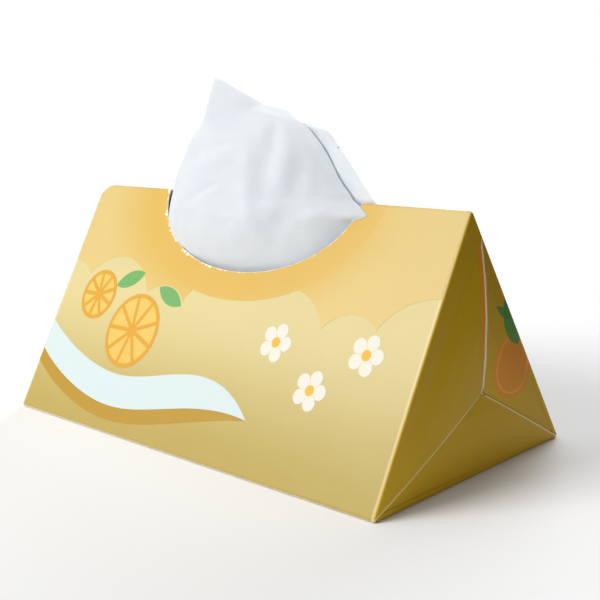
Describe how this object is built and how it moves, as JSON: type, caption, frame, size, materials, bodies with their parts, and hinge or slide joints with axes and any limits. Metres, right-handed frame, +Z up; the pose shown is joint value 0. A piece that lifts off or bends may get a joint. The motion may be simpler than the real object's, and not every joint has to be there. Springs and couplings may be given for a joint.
{
  "type": "tissue box",
  "caption": "Triangular card tissue box with a rounded oval opening across its ridge and a folded sheet standing up through it.",
  "frame": {"origin": "middle of the base, on the surface the carton stands on", "axes": "+X along the ridge, towards the end whose closure shows in the picture; +Y towards the back panel, so the front panel faces -Y; +Z up"},
  "size_m": [0.2344, 0.1192, 0.1555],
  "materials": {
    "carton_card": "satin printed card, grey-white inside",
    "tissue": "matt soft tissue",
    "ink_white": "satin ink",
    "ink_green": "satin ink",
    "ink_flesh": "satin ink",
    "ink_orange": "satin ink",
    "ink_ribbon": "satin ink",
    "ink_brown": "satin ink",
    "ink_deep_gold": "satin ink",
    "ink_gold": "satin ink"
  },
  "bodies": {
    "root": {"carton": "carton_card", "tissue_pile": "tissue", "top_tissue": "tissue", "print_white": "ink_white", "print_green": "ink_green", "print_flesh": "ink_flesh", "print_orange": "ink_orange", "print_ribbon": "ink_ribbon", "print_brown": "ink_brown", "print_deep_gold": "ink_deep_gold", "print_gold": "ink_gold"}
  },
  "joints": []
}
